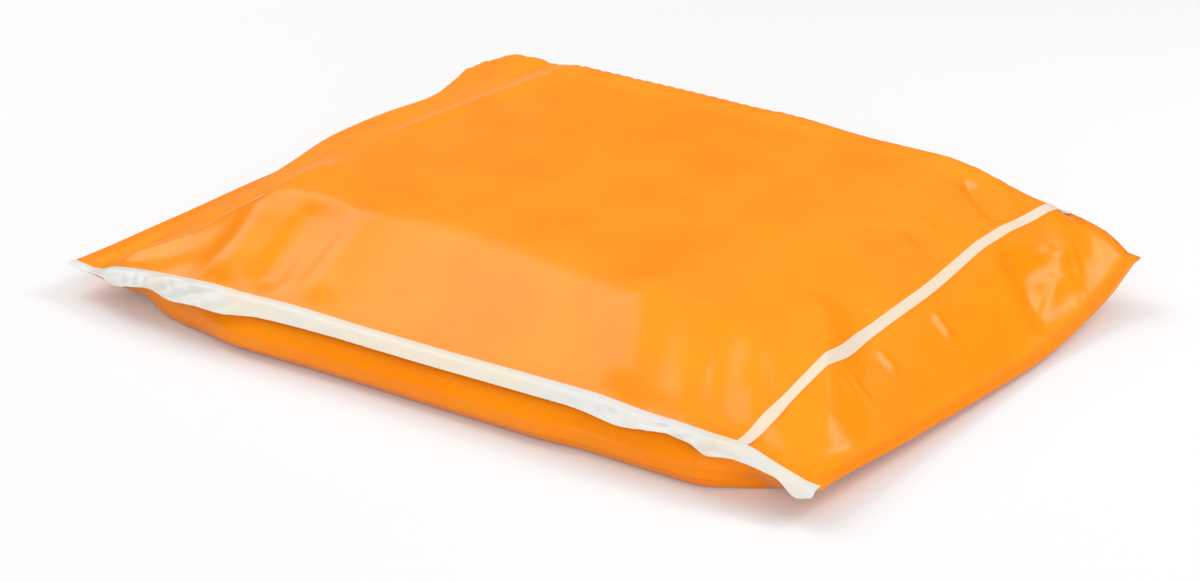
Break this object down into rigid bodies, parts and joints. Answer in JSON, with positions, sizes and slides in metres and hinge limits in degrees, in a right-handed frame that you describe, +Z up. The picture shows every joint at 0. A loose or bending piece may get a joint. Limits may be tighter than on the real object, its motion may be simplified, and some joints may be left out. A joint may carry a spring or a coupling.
{
  "type": "poly mailer bag",
  "caption": "Filled and sealed film mailing bag lying flat, with a welded rim, crumpled white tape along one long seam and a narrow white tape across the folded flap.",
  "frame": {"origin": "bottom centre of the whole bag, on the table it lies on", "axes": "+X along the bag towards the folded flap, +Y across it from the taped long seam to the back, +Z up"},
  "size_m": [0.32, 0.2326, 0.0522],
  "materials": {
    "film": "glossy orange polyethylene film, lightly creased",
    "tape": "satin milky white film, crumpled"
  },
  "bodies": {
    "root": {"film_bag": "film", "side_seal_tape": "tape", "flap_seal_tape": "tape"}
  },
  "joints": []
}
